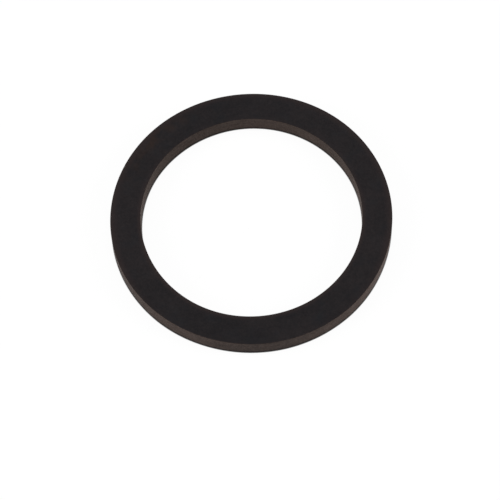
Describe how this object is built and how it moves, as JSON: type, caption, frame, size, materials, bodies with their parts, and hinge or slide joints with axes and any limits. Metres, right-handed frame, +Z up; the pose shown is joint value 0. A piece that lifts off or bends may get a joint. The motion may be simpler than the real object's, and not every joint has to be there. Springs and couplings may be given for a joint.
{
  "type": "rubber washer",
  "caption": "Flat black rubber ring washer with a plain rectangular section and a wide round hole, for sealing a union nut or pipe coupling.",
  "frame": {"origin": "the bore's axis at the bottom face", "axes": "+Z up along the bore's axis, from the bottom face to the top face"},
  "size_m": [0.07, 0.07, 0.005],
  "materials": {
    "rubber": "matte"
  },
  "bodies": {
    "root": {"rubber_washer": "rubber"}
  },
  "joints": []
}
